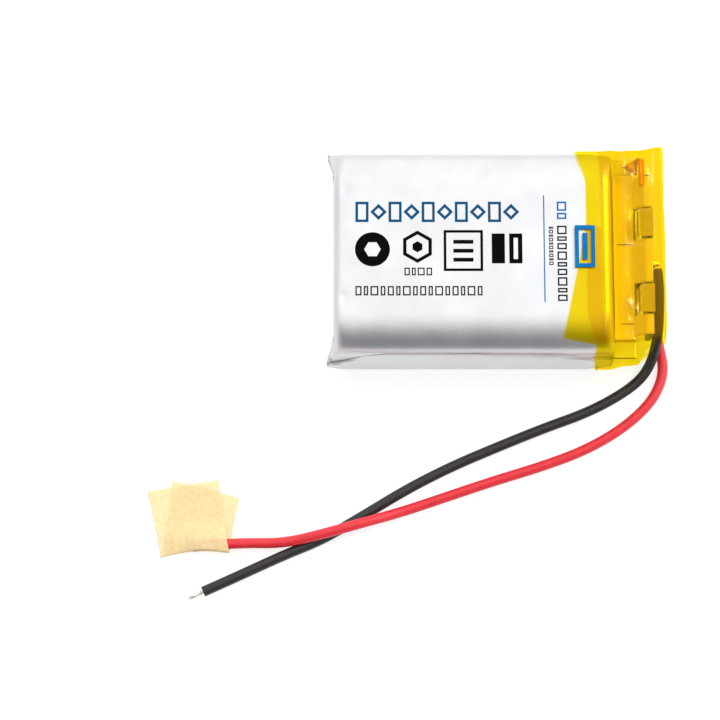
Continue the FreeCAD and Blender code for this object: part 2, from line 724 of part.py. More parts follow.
def polyimide_patch():
    """A second, slanted length of the tape on the upper face, over the band's edge."""
    patch = doc.addObject("Part::Box", "patch")
    patch.setExpression("Length", "dims.patch_reach")
    patch.setExpression("Width", "dims.patch_width")
    patch.setExpression("Height", "dims.tape_skin")
    turn = Rotation(Vector(0, 0, 1), value("dims.patch_turn"))
    corner = Vector(value("dims.patch_corner"), value("dims.patch_side"),
                    value("dims.cell_height + dims.tape_skin"))
    patch.Placement = Placement(corner + turn.multVec(Vector(0, -value("dims.patch_width"), 0)),
                                turn)
    keep(patch, "polyimide_patch")


# ---------------------------------------------------------------- paper flag on the red tip

# Corners of the flag's two halves, seen from above; the last two are the ends of its fold.
FLAG_FRONT = [(-40.5, -26.8), (-32.3, -25.4), (-30.8, -34.2), (-38.9, -34.6)]
FLAG_BACK = [(-37.6, -25.5), (-29.8, -27.8), (-30.8, -34.2), (-38.9, -34.6)]


def flag_ply(outline, low, high):
    """One flat ply of the flag, or its fold, as a straight prism."""
    corners = [Vector(x, y, low) for x, y in outline]
    return Part.Face(Part.makePolygon(corners + corners[:1])).extrude(Vector(0, 0, high - low))


def masking_flag():
    """A strip of masking tape folded over the red lead's end, its two halves askew."""
    skin = value("dims.flag_skin")
    base = value("dims.flag_base")
    top = value("dims.flag_top")
    right, left = (Vector(x, y, 0) for x, y in FLAG_FRONT[2:])
    inward = Vector(0, 0, 1).cross(left - right).normalize() * -skin
    fold_outline = [(spot.x, spot.y) for spot in (right, left, left + inward, right + inward)]
    front = flag_ply(FLAG_FRONT, top, top + skin)
    back = flag_ply(FLAG_BACK, base, base + skin)
    fold = flag_ply(fold_outline, base, top + skin)
    flag = doc.addObject("Part::Feature", "flag")
    flag.Shape = front.fuse([back, fold]).removeSplitter()
    keep(flag, "masking_tape_flag")


# ---------------------------------------------------------------- assembly and export

pouch_half("pouch_upper", True)
pouch_half("pouch_lower", False)
electrode_stack()
tabs()
terrace_paper()
board()
nickel_plates()
for chip_name, chip_side in CHIPS.items():
    chip(chip_name, chip_side)
passives()
black_core = lead("black", BLACK_ROUTE, value("dims.black_strip"))
red_core = lead("red", RED_ROUTE, value("dims.red_strip"))
solder_joint("black", black_core)
solder_joint("red", red_core)
polyimide_wrap()
polyimide_patch()
masking_flag()
doc.recompute()

for thing in doc.Objects:
    if "Invalid" in thing.State or "Error" in thing.State:
        raise RuntimeError(f"{thing.Label} failed: {thing.State}")
for part in parts:
    if part.Shape.isNull() or not part.Shape.isValid():
        raise RuntimeError(f"{part.Label} has no valid shape")

os.makedirs("parts", exist_ok=True)
for part in parts:
    part.Shape.exportStep(f"parts/{part.Label}.step")
print(len(parts), "sub-parts written")
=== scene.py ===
"""Looks for the lithium-polymer pouch cell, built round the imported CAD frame, in metres."""

import math

import bmesh
import bpy
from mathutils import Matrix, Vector, noise


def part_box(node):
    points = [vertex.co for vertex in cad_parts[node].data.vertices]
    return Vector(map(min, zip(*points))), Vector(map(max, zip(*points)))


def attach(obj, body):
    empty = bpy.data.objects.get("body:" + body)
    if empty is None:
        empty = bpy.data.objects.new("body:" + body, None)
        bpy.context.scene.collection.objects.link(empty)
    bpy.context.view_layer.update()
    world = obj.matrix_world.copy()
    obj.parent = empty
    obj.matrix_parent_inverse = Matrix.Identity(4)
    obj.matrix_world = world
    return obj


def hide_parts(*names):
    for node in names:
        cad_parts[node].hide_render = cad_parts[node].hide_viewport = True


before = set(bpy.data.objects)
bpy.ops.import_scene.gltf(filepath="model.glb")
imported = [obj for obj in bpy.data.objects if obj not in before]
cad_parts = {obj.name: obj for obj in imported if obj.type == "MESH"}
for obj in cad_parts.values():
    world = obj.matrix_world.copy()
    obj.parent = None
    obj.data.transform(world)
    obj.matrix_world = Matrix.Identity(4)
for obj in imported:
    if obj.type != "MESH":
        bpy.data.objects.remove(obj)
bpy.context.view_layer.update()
MM = 0.001
FLOOR_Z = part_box("pouch_lower")[0].z


# ---- helpers

def mm(*numbers):
    """A point given in millimetres, in metres."""
    return Vector(numbers) * MM


def finish_piece(piece, material, replaces=()):
    """Give a piece its material and its body, and hide the CAD nodes it stands for."""
    piece.data.materials.clear()
    piece.data.materials.append(material)
    if replaces:
        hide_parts(*replaces)
    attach(piece, "root")
    return piece


# ---- node helpers

def new_material(name, **inputs):
    """A Principled material with its uniform inputs set, with its node tree and its shader."""
    material = bpy.data.materials.new(name)
    material.use_nodes = True
    shader = material.node_tree.nodes["Principled BSDF"]
    for key, number in inputs.items():
        shader.inputs[key.replace("_", " ").title().replace("Ior", "IOR")].default_value = number
    return material, material.node_tree, shader


def link(tree, source, target):
    tree.links.new(source, target)


def noise_texture(tree, scale, detail=2.0, roughness=0.5, stretch=(1, 1, 1)):
    """A noise texture in object space, where scale is in features per metre."""
    coordinates = tree.nodes.new("ShaderNodeTexCoord")
    mapping = tree.nodes.new("ShaderNodeMapping")
    mapping.inputs["Scale"].default_value = stretch
    texture = tree.nodes.new("ShaderNodeTexNoise")
    texture.inputs["Scale"].default_value = scale
    texture.inputs["Detail"].default_value = detail
    texture.inputs["Roughness"].default_value = roughness
    link(tree, coordinates.outputs["Object"], mapping.inputs["Vector"])
    link(tree, mapping.outputs["Vector"], texture.inputs["Vector"])
    return texture


def ramp(tree, source, *stops):
    """A colour ramp over a value, where each stop is a position and a colour."""
    node = tree.nodes.new("ShaderNodeValToRGB")
    elements = node.color_ramp.elements
    while len(elements) < len(stops):
        elements.new(0.5)
    for element, (position, colour) in zip(elements, stops):
        element.position = position
        element.color = (*colour, 1.0)
    link(tree, source, node.inputs["Fac"])
    return node.outputs["Color"]


def level(tree, source, low, high):
    """A value remapped from 0..1 to low..high."""
    node = tree.nodes.new("ShaderNodeMapRange")
    node.inputs["To Min"].default_value = low
    node.inputs["To Max"].default_value = high
    link(tree, source, node.inputs["Value"])
    return node.outputs["Result"]


def bump(tree, shader, source, distance, strength=1.0):
    """Bump from a height in metres at full scale."""
    node = tree.nodes.new("ShaderNodeBump")
    node.inputs["Strength"].default_value = strength
    node.inputs["Distance"].default_value = distance
    link(tree, source, node.inputs["Height"])
    link(tree, node.outputs["Normal"], shader.inputs["Normal"])


def mottled(name, dark, light, scale, rough=(0.4, 0.6), grain=0.00002, **inputs):
    """A surface whose colour, roughness and height vary together with one noise."""
    material, tree, shader = new_material(name, **inputs)
    texture = noise_texture(tree, scale, detail=4.0)
    link(tree, ramp(tree, texture.outputs["Fac"], (0.3, dark), (0.7, light)),
         shader.inputs["Base Color"])
    link(tree, level(tree, texture.outputs["Fac"], *rough), shader.inputs["Roughness"])
    bump(tree, shader, texture.outputs["Fac"], grain)
    return material


def let_through(tree, shader, tint, share):
    """Let tinted light through a surface, where share is the part that its own shader keeps."""
    clear = tree.nodes.new("ShaderNodeBsdfTransparent")
    clear.inputs["Color"].default_value = (*tint, 1.0)
    mix = tree.nodes.new("ShaderNodeMixShader")
    mix.inputs["Fac"].default_value = share
    link(tree, clear.outputs["BSDF"], mix.inputs[1])
    link(tree, shader.outputs["BSDF"], mix.inputs[2])
    link(tree, mix.outputs["Shader"], tree.nodes["Material Output"].inputs["Surface"])


# ---- camera

# A long lens high over the leads and the cell, a little to the near side.
LENS = 120.0
TILT = math.radians(10.5)
AIM = mm(-15.876, -11.080, 0.0)
DISTANCE = 0.28239

camera_data = bpy.data.cameras.new("camera")
camera_data.lens = LENS
camera_data.sensor_width = 36.0
camera_data.clip_start = 0.01
camera = bpy.data.objects.new("camera", camera_data)
camera.location = AIM + DISTANCE * Vector((0.0, -math.sin(TILT), math.cos(TILT)))
camera.rotation_euler = (TILT, 0.0, 0.0)
bpy.context.scene.collection.objects.link(camera)
bpy.context.scene.camera = camera

# ---- shape helpers

def eased(share):
    """A smooth step from 0 to 1."""
    share = min(max(share, 0.0), 1.0)
    return share * share * (3 - 2 * share)


def between(table, place, blur=0.35):
    """A value read from (place, value) rows, softened over a short distance."""
    def straight(at):
        if at <= table[0][0]:
            return table[0][1]
        for (start, low), (stop, high) in zip(table, table[1:]):
            if at <= stop:
                return low + (high - low) * (at - start) / (stop - start)
        return table[-1][1]
    return sum(straight(place + blur * step) for step in (-1, -0.5, 0, 0.5, 1)) / 5


def wave(spot, height, scales, shift=0.0):
    """Smooth noise of a height at a place, with its own scale along each axis."""
    x, y, z = (place * scale for place, scale in zip(spot, scales))
    return height * noise.noise(Vector((x, y, z + shift)))


def square_to(along):
    """The level direction square to a run, and the direction square to both."""
    sideways = along.cross(Vector((0, 0, 1))).normalized()
    return sideways, sideways.cross(along)


def spread(start, stop, count):
    """Evenly spaced numbers from start to stop, both included."""
    return [start + (stop - start) * step / (count - 1) for step in range(count)]


def grid_faces(rows, columns, closed=False, flip=False):
    """Quads over a grid of points given row by row."""
    faces = []
    for row in range(rows - 1):
        for column in range(columns if closed else columns - 1):
            following = (column + 1) % columns
            face = (row * columns + column, (row + 1) * columns + column,
                    (row + 1) * columns + following, row * columns + following)
            faces.append(face[::-1] if flip else face)
    return faces


def raw_mesh(name, points, faces):
    """A smooth-shaded mesh piece from points in millimetres, keeping the faces' winding."""
    mesh = bpy.data.meshes.new(name)
    mesh.from_pydata([tuple(Vector(point) * MM) for point in points], [], faces)
    for polygon in mesh.polygons:
        polygon.use_smooth = True
    piece = bpy.data.objects.new(name, mesh)
    bpy.context.scene.collection.objects.link(piece)
    return piece


def ruffle(piece, height):
    """Move each vertex along its normal by a height in millimetres given at its place."""
    mesh = piece.data
    mesh.update()
    normals = [vertex.normal.copy() for vertex in mesh.vertices]
    for vertex, normal in zip(mesh.vertices, normals):
        vertex.co += normal * height(vertex.co / MM) * MM


def face_outwards(piece, weld=0.0):
    """Join points closer than a distance in millimetres, then turn the faces outwards."""
    shape = bmesh.new()
    shape.from_mesh(piece.data)
    if weld:
        bmesh.ops.remove_doubles(shape, verts=shape.verts, dist=weld * MM)
    bmesh.ops.recalc_face_normals(shape, faces=shape.faces)
    shape.to_mesh(piece.data)
    shape.free()


def thicken(piece, skin, side=-1.0):
    """Give an open surface its thickness in millimetres, away from its normals by default."""
    modifier = piece.modifiers.new("thickness", "SOLIDIFY")
    modifier.thickness = skin * MM
    modifier.offset = side
    modifier.use_even_offset = False


# ---- pouch film

# Heights of the top face and the seam, places of the folded end, the terminal wall and the
# terrace's edge along the cell, half widths across it, and radii, all in millimetres.
CELL = 10.0
SEAM = 5.0
HALF_HEIGHT = CELL - SEAM
FOLD, WALL, TERRACE = -18.9, 13.3, 16.1
HALF_WALL, TERRACE_HALF = 11.92, 12.0
WALL_ROUND, BASE_ROUND = 1.3, 0.42
SHOULDER_WIDE, SHOULDER_HIGH = 4.5, 3.0
FILM = 0.13
PLY_GAP = 0.005
FLUSH_WALL = HALF_WALL + PLY_GAP + 2 * FILM
# How far the base stands out past the wall.
FLARE = 0.08
# The near flaps' height by place along the cell, and the far flaps' share of it.
FAR_FLAP = 0.42
FLAP_TABLE = ((-17.9, 0.12), (-17.3, 0.7), (-16.0, 2.3), (-13.5, 2.75), (7.2, 2.7),
              (11.2, 1.0), (13.3, 0.2))
# The ears at the folded end: where a corner is drawn out to, how far from it the film follows,
# and the share of a drop below the seam that counts in that distance.
EAR = (-19.6, 12.48, 4.45)
EAR_REACH = 2.6
EAR_SQUASH = 0.55
# The humps over the tabs: their places across, half width and height.
TAB_SIDES = (3.85, -5.1)
TAB_HALF, TAB_LIFT = 2.75, 0.27
# The sides draw in towards the terminals: from where, over what run and by how much.
DRAW_IN_START, DRAW_IN_RUN, DRAW_IN = 10.6, 1.4, 0.14
# Dimples beside the folded end: place along and across the cell, and depth.
DIMPLES = ((-17.75, -5.65, 0.16), (-17.6, 7.0, 0.12))
DIMPLE_WIDE = 0.55


def side_point(reach, lift):
    """Outward distance and height on the upper half's side, a way up the wall from the seam."""
    straight = CELL - SHOULDER_HIGH - SEAM
    if reach <= straight:
        return HALF_WALL + lift, SEAM + reach
    angle = (reach - straight) / SHOULDER_HIGH
    outward = Vector((math.cos(angle) / SHOULDER_WIDE, math.sin(angle) / SHOULDER_HIGH)).normalized()
    return (HALF_WALL - SHOULDER_WIDE + SHOULDER_WIDE * math.cos(angle) + lift * outward.x,
            CELL - SHOULDER_HIGH + SHOULDER_HIGH * math.sin(angle) + lift * outward.y)


def feathered(reach, flap):
    """Share of its thickness that a ply keeps, pressed thin towards the flap's free edge."""
    return 1 - 0.9 * eased((reach / flap - 0.4) / 0.6)


def upper_profile(flap):
    """Half of the upper film's outer face, from its middle to the flap's top, with ply shares."""
    whole = CELL - SHOULDER_HIGH - SEAM + SHOULDER_HIGH * math.pi / 2
    points = [(y, CELL, 1.0) for y in spread(0.0, HALF_WALL - SHOULDER_WIDE, 22)[:-1]]
    points += [(*side_point(reach, 0.0), 1.0) for reach in spread(whole, 0.0, 34)]
    points += [(*side_point(reach, PLY_GAP), feathered(reach, flap))
               for reach in spread(0.0, flap, 20)]
    return points


def lower_profile(flap):
    """Half of the lower film's outer face, from the base's middle to the flap's top."""
    edge = FLUSH_WALL + FLARE - BASE_ROUND
    points = [(y, 0.0, 1.0) for y in spread(0.0, edge, 30)[:-1]]
    points += [(edge + BASE_ROUND * math.sin(turn), BASE_ROUND - BASE_ROUND * math.cos(turn), 1.0)
               for turn in spread(0.0, math.pi / 2, 8)]
    points += [(FLUSH_WALL + FLARE * (1 - eased(height / SEAM)), height, 1.0)
               for height in spread(BASE_ROUND, SEAM - 0.1, 12)[1:]]
    for reach in spread(0.0, flap, 20):
        share = feathered(reach, flap)
        points.append((*side_point(reach, PLY_GAP + 2 * FILM * share), share))
    return points


def end_round(side):
    """Radius of the folded end's edge, wider towards the corners."""
    return 0.9 + 0.9 * eased((abs(side) - 8.0) / 4.0)


def film_row(kind, share, side):
    """Place along the cell, and share of the full height, for one row of the film."""
    if kind == "fold wall":
        return FOLD, share * (HALF_HEIGHT - end_round(side)) / HALF_HEIGHT
    if kind == "fold round":
        radius = end_round(side)
        turn = share * math.pi / 2
        return (FOLD + radius * (1 - math.cos(turn)),
                1 - radius * (1 - math.sin(turn)) / HALF_HEIGHT)
    if kind == "face":
        start = FOLD + end_round(side)
        return start + (WALL - WALL_ROUND - start) * share, 1.0
    if kind == "wall round":
        turn = share * math.pi / 2
        return (WALL - WALL_ROUND + WALL_ROUND * math.sin(turn),
                1 - WALL_ROUND * (1 - math.cos(turn)) / HALF_HEIGHT)
    if kind == "wall":
        low = FILM / HALF_HEIGHT
        high = 1 - WALL_ROUND / HALF_HEIGHT
        return WALL, high + (low - high) * share
    return WALL + (TERRACE - WALL) * share, FILM / HALF_HEIGHT


ROW_COUNTS = (("fold wall", 12), ("fold round", 9), ("face", 110), ("wall round", 9), ("wall", 12))
ROWS = [(kind, share) for kind, count in ROW_COUNTS for share in spread(0.0, 1.0, count)[:-1]]
ROWS += [("terrace", share) for share in spread(0.0, 1.0, 14)]


def film_relief(spot):
    """Height of the film's soft waves, creases and dimples, in millimetres."""
    x, y, z = spot
    waves = wave(spot, 0.035, (0.15, 0.17, 0.2), 3.0) + wave(spot, 0.010, (0.6, 0.5, 0.5), 9.0)
    shoulder = eased((abs(y) - 8.0) / 1.5) * eased((z - 4.0) / 2.0)
    streaks = wave(spot, 0.016, (1.3, 0.2, 0.2)) + wave(spot, 0.010, (3.1, 0.25, 0.25), 5.0)
    streaks += 0.004 * math.sin(5.1 * x + 2.2 * math.sin(0.9 * x)) * (y < 0)
    dimples = 0.0
    for centre_x, centre_y, depth in DIMPLES:
        distance = math.hypot(x - centre_x, (y - centre_y) * 0.7)
        dimples += depth * math.exp(-(distance / DIMPLE_WIDE) ** 2) * eased(z - 8.0)
    return waves + shoulder * streaks - dimples


def pouch_film(name, profile_of, upper):
    """One half of the pouch film as a thickened sheet, with its side flaps, ears and terrace."""
    sign = 1 if upper else -1
    points = []
    skins = []
    for kind, share in ROWS:
        middle, _ = film_row(kind, share, 0.0)
        flap = between(FLAP_TABLE, middle)
        near_half = profile_of(flap)
        far_half = profile_of(flap * FAR_FLAP)
        profile = [(-y, z, skin) for y, z, skin in reversed(near_half[1:])] + far_half
        columns = len(profile)
        for column, (y, z, skin) in enumerate(profile):
            x, height = film_row(kind, share, y)
            half = TERRACE_HALF if kind == "terrace" else FLUSH_WALL
            even = (column / (columns - 1) * 2 - 1) * half
            slide = 1 - eased(height / 0.5)
            side = y + (even - y) * slide
            level_z = SEAM + (z - SEAM) * height
            if kind == "terrace":
                level_z = SEAM + sign * FILM
                for tab in TAB_SIDES:
                    level_z += sign * TAB_LIFT * eased((TAB_HALF - abs(side - tab)) / 0.4)
            side -= math.copysign(DRAW_IN * eased((middle - DRAW_IN_START) / DRAW_IN_RUN), side)
            corner = Vector((FOLD, math.copysign(FLUSH_WALL, side), SEAM))
            offset = Vector((x, side, level_z)) - corner
            if offset.z < 0:
                offset.z *= EAR_SQUASH
            reach = eased(1 - offset.length / EAR_REACH)
            if reach > 0:
                x += (EAR[0] - FOLD) * reach
                side += math.copysign(EAR[1] - FLUSH_WALL, side) * reach
                level_z += (EAR[2] - SEAM) * reach
            points.append((x, side, level_z))
            skins.append(skin)
    piece = raw_mesh(name, points, grid_faces(len(ROWS), columns, flip=not upper))
    ruffle(piece, film_relief)
    thicken(piece, FILM)
    group = piece.vertex_groups.new(name="skin")
    for vertex, skin in enumerate(skins):
        group.add([vertex], skin, "REPLACE")
    piece.modifiers["thickness"].vertex_group = "skin"
    return piece


def film_material():
    """Silver-white laminate: a satin metal sheen, faintly uneven, with a very fine peel."""
    material, tree, shader = new_material("pouch_film", metallic=0.9)
    cloud = noise_texture(tree, 260, detail=3.0)
    link(tree, ramp(tree, cloud.outputs["Fac"], (0.3, (0.60, 0.60, 0.615)),
                    (0.7, (0.655, 0.655, 0.665))), shader.inputs["Base Color"])
    link(tree, level(tree, cloud.outputs["Fac"], 0.27, 0.36), shader.inputs["Roughness"])
    peel = noise_texture(tree, 2600, detail=2.0)
    bump(tree, shader, peel.outputs["Fac"], 0.0000035, 0.6)
    return material


film = film_material()
finish_piece(pouch_film("pouch_film_upper", upper_profile, True), film,
             ["pouch_upper"])
finish_piece(pouch_film("pouch_film_lower", lower_profile, False), film,
             ["pouch_lower"])

# ---- printed marks

INK_LIFT = 0.014
INK_SKIN = 0.006
# The panel reaches over the tape, so it is lifted clear of it.
PANEL_LIFT = 0.36
# Longer edges are split, so that a mark follows the film's waves.
LONGEST_EDGE = 0.9


def mark(name, outlines, material, lift=INK_LIFT):
    """Flat printed shapes over the upper face, from closed outlines in millimetres."""
    curve = bpy.data.curves.new(name, "CURVE")
    curve.dimensions = "2D"
    curve.fill_mode = "BOTH"
    for outline in outlines:
        spline = curve.splines.new("POLY")
        spline.points.add(len(outline) - 1)
        for target, (x, y) in zip(spline.points, outline):
            target.co = (x, y, 0.0, 1.0)
        spline.use_cyclic_u = True
    holder = bpy.data.objects.new(name, curve)
    bpy.context.scene.collection.objects.link(holder)
    bpy.context.view_layer.update()
    mesh = bpy.data.meshes.new_from_object(holder)
    bpy.data.objects.remove(holder)
    shape = bmesh.new()
    shape.from_mesh(mesh)
    bmesh.ops.remove_doubles(shape, verts=shape.verts, dist=0.0001)
    for _ in range(4):
        long_edges = [edge for edge in shape.edges if edge.calc_length() > LONGEST_EDGE]
        if not long_edges:
            break
        bmesh.ops.subdivide_edges(shape, edges=long_edges, cuts=1)
        bmesh.ops.triangulate(shape, faces=shape.faces)
    for vertex in shape.verts:
        vertex.co.z = CELL + lift + film_relief(Vector((vertex.co.x, vertex.co.y, CELL)))
        vertex.co *= MM
    bmesh.ops.recalc_face_normals(shape, faces=shape.faces)
    if sum(face.normal.z for face in shape.faces) < 0:
        bmesh.ops.reverse_faces(shape, faces=shape.faces)
    shape.to_mesh(mesh)
    shape.free()
    mesh.name = name
    piece = bpy.data.objects.new(name, mesh)
    bpy.context.scene.collection.objects.link(piece)
    thicken(piece, INK_SKIN, side=1.0)
    return finish_piece(piece, material)


def bar(x, y, width, height):
    """A rectangle from its lower left corner."""
    return [(x, y), (x + width, y), (x + width, y + height), (x, y + height)]


def ring_outline(x, y, radius, sides=48, phase=0.0):
    """A regular outline round a centre: a circle, or a polygon when it has few sides."""
    return [(x + radius * math.cos(phase + 2 * math.pi * step / sides),
             y + radius * math.sin(phase + 2 * math.pi * step / sides)) for step in range(sides)]


def frame_row(start, stop, base, height, widths, gap, stroke):
    """Upright frames of several widths along a line; those too narrow for a hole are solid."""
    outlines = []
    place = start
    step = 0
    while place + widths[step % len(widths)] <= stop:
        width = widths[step % len(widths)]
        outlines.append(bar(place, base, width, height))
        if width > 2.2 * stroke:
            outlines.append(bar(place + stroke, base + stroke, width - 2 * stroke,
                                height - 2 * stroke))
        place += width + gap
        step += 1
    return outlines


def upright(outlines):
    """The same outlines read up the cell instead of along it."""
    return [[(-y, x) for x, y in outline] for outline in outlines]


def ink(name, dark, light):
    """A thin matt print."""
    return mottled(name, dark, light, 1500, rough=(0.5, 0.6), grain=0.000004,
                   specular_ior_level=0.03)


blue_ink = ink("blue_ink", (0.003, 0.060, 0.145), (0.006, 0.078, 0.175))
bright_blue_ink = ink("bright_blue_ink", (0.003, 0.135, 0.36), (0.006, 0.16, 0.41))
black_ink = ink("black_ink", (0.0008, 0.0008, 0.0008), (0.002, 0.002, 0.002))
grey_ink = ink("grey_ink", (0.012, 0.012, 0.013), (0.018, 0.018, 0.019))

# Places and sizes of the marks on the face, in millimetres. None of them is a letter.
headline = frame_row(-16.4, 2.1, 3.15, 2.4, (1.5,), 2.3, 0.3)
for step in range(5):
    centre = -13.75 + 3.8 * step
    headline += [ring_outline(centre, 4.35, 0.95, 4), ring_outline(centre, 4.35, 0.5, 4)]
mark("print_headline", headline, blue_ink)
mark("print_disc", [ring_outline(-14.45, -0.05, 2.0), ring_outline(-14.45, -0.05, 0.95, 6)],
     black_ink)
mark("print_hexagon", [ring_outline(-9.3, 0.25, 1.9, 6, math.pi / 6),
                       ring_outline(-9.3, 0.25, 1.45, 6, math.pi / 6),
                       ring_outline(-9.3, 0.25, 0.65, 6, math.pi / 6)], black_ink)
mark("print_small_line", frame_row(-10.8, -7.4, -3.1, 0.9, (0.62, 0.45, 0.8), 0.22, 0.14),
     black_ink)
mark("print_frame", [bar(-6.3, -2.6, 4.5, 4.8), bar(-6.0, -2.3, 3.9, 4.2),
                     bar(-5.2, -1.5, 2.3, 0.45), bar(-5.2, -0.45, 2.3, 0.45),
                     bar(-5.2, 0.6, 2.3, 0.45)], black_ink)
mark("print_blocks", [bar(-0.8, -1.7, 1.5, 3.5), bar(1.2, -1.7, 1.5, 3.5),
                      bar(1.7, -1.2, 0.5, 2.5)], black_ink)
mark("print_rating_line",
     frame_row(-16.4, -1.0, -5.45, 1.1, (0.7, 0.5, 0.9, 0.55), 0.26, 0.16), grey_ink)
mark("print_rule", [bar(5.14, -6.2, 0.14, 12.5)], bright_blue_ink)
mark("print_side_band_blue",
     upright(frame_row(3.5, 6.45, -7.8, 1.1, (0.75, 1.1), 0.22, 0.2)), bright_blue_ink)
mark("print_side_band_grey",
     upright(frame_row(-6.1, 3.4, -7.8, 1.1, (0.75, 0.55, 1.0), 0.24, 0.18)), grey_ink)
mark("print_side_line",
     upright(frame_row(-1.9, 2.7, -6.25, 0.5, (0.4, 0.25), 0.14, 0.11)), grey_ink)
mark("print_panel", [bar(8.7, -2.2, 2.3, 4.9), bar(9.15, -1.75, 1.4, 4.0),
                     bar(9.55, -1.3, 0.6, 3.1)], bright_blue_ink, lift=PANEL_LIFT)

# ---- masking-tape flag

# Corners of the front and back plies, clockwise from the upper left, and heights: the back ply,
# the front ply where it is pressed flat, and the front ply over the lead.
FLAG_FRONT = [(-40.6, -26.8), (-32.3, -25.4), (-31.0, -33.75), (-38.95, -34.35)]
FLAG_BACK = [(-37.7, -25.45), (-29.9, -27.5), (-31.0, -33.75), (-38.95, -34.35)]
FLAG_LOW, FLAG_FLAT, FLAG_HIGH = 0.07, 0.34, 1.48
FLAG_SKIN = 0.1


def flag_point(outline, across, down):
    """A point in a ply's outline, from its upper left corner."""
    corners = [Vector(corner) for corner in outline]
    top = corners[0].lerp(corners[1], across)
    bottom = corners[3].lerp(corners[2], across)
    spot = top.lerp(bottom, down)
    waist = 0.25 * math.sin(math.pi * down) * (0.5 - across)
    bow = math.sin(math.pi * across)
    return spot + Vector((waist, bow * (0.5 * down + 0.12 * (1 - down))))


def flag_rise(across, down):
    """Height of the front ply: over the lead on the right, pressed flat on the left."""
    fold = between(((0.1, 0.36), (0.2, 0.88), (0.34, 0.92), (0.52, FLAG_HIGH)), across, 0.08)
    away = eased((0.86 - down) / 0.34)
    return fold + (FLAG_FLAT - fold) * away + 0.10 * eased((0.3 - down) / 0.3)


def flag():
    """A strip of crepe tape: the front half, the fold round the lead, and the back half."""
    rows = [("front", down) for down in spread(0.0, 1.0, 60)]
    rows += [("fold", share) for share in spread(0.0, 1.0, 14)[1:-1]]
    rows += [("back", down) for down in spread(1.0, 0.0, 60)]
    columns = 52
    points = []
    for kind, share in rows:
        for column in range(columns):
            across = column / (columns - 1)
            if kind == "fold":
                fold = flag_point(FLAG_FRONT, across, 1.0)
                turn = share * math.pi
                high = flag_rise(across, 1.0)
                middle = (FLAG_LOW + high) / 2
                points.append((fold.x, fold.y - 0.1 * (high - FLAG_LOW) * math.sin(turn),
                               middle + (high - middle) * math.cos(turn)))
                continue
            spot = flag_point(FLAG_FRONT if kind == "front" else FLAG_BACK, across, share)
            rise = FLAG_LOW
            if kind == "front":
                rise = flag_rise(across, share)
                rise += 0.03 * noise.noise(Vector((spot.x * 0.5, spot.y * 0.5, 1.0)))
            points.append((spot.x, spot.y, rise))
    piece = raw_mesh("paper_flag", points, grid_faces(len(rows), columns, flip=True))
    thicken(piece, FLAG_SKIN, side=0.0)
    return piece


def crepe_material():
    """Masking tape: blotched cream paper with fine crepe waves, which lets half the light by."""
    material, tree, shader = new_material("masking_tape", roughness=0.85, specular_ior_level=0.2)
    waves = noise_texture(tree, 1700, detail=3.0, stretch=(1.0, 0.45, 1.0))
    blotch = noise_texture(tree, 2300, detail=4.0, roughness=0.6)
    link(tree, ramp(tree, blotch.outputs["Fac"], (0.38, (0.92, 0.78, 0.41)),
                    (0.62, (0.97, 0.87, 0.57))), shader.inputs["Base Color"])
    bump(tree, shader, waves.outputs["Fac"], 0.00006, 0.7)
    let_through(tree, shader, (0.95, 0.88, 0.76), 0.50)
    return material


paper_flag = finish_piece(flag(), crepe_material(), ["masking_tape_flag"])

# ---- leads

BLACK_ROUTE = [
    (18.45, -0.30, 5.75), (18.73, -2.70, 5.80), (18.78, -5.20, 5.35), (18.80, -7.50, 4.45),
    (18.70, -9.60, 3.05), (18.20, -11.70, 1.50), (17.00, -13.60, 0.72), (14.40, -15.50, 0.62),
    (10.60, -17.50, 0.62), (5.60, -19.30, 0.62), (0.20, -21.50, 0.62), (-5.20, -23.80, 0.62),
    (-10.30, -26.40, 0.62), (-15.40, -29.50, 0.62), (-20.10, -32.30, 0.62),
    (-24.70, -34.15, 0.62), (-30.20, -36.70, 0.62), (-35.70, -39.15, 0.62),
]
RED_ROUTE = [
    (18.50, -4.20, 3.30), (18.66, -6.40, 2.90), (18.82, -8.60, 1.85), (19.35, -10.40, 1.02),
    (19.70, -12.20, 0.70), (19.25, -14.30, 0.64), (17.80, -16.70, 0.62), (14.60, -19.50, 0.62),
    (10.20, -22.00, 0.62), (5.00, -23.90, 0.62), (-0.60, -25.60, 0.62), (-6.20, -27.50, 0.62),
    (-11.20, -29.20, 0.70), (-15.80, -30.60, 1.95), (-20.00, -31.80, 1.95),
    (-24.70, -32.80, 0.85), (-29.20, -32.75, 0.78), (-33.20, -33.00, 0.78),
    (-37.05, -33.35, 0.50),
]
JACKET = 1.2
BARE = 1.9
STRAND = 0.125
STRANDS = 7
TWIST = 0.9
TIP_RADIUS = 0.235
TIP_SIDES = 24


def cut_back(points, head, tail):
    """The route with its two end points moved inwards along their runs."""
    first, last = Vector(points[0]), Vector(points[-1])
    start = first + (Vector(points[1]) - first).normalized() * head
    stop = last + (Vector(points[-2]) - last).normalized() * tail
    return [tuple(start)] + points[1:-1] + [tuple(stop)]


def round_curve(name, splines, diameter, sides=10, steps=12):
    """Round rods along NURBS routes in millimetres."""
    curve = bpy.data.curves.new(name, "CURVE")
    curve.dimensions = "3D"
    for points in splines:
        spline = curve.splines.new("NURBS")
        spline.points.add(len(points) - 1)
        for target, point in zip(spline.points, points):
            target.co = (*mm(*point), 1.0)
        spline.order_u = 3
        spline.use_endpoint_u = True
        spline.resolution_u = steps
    curve.bevel_depth = diameter / 2 * MM
    curve.bevel_resolution = sides
    curve.use_fill_caps = True
    piece = bpy.data.objects.new(name, curve)
    bpy.context.scene.collection.objects.link(piece)
    return piece


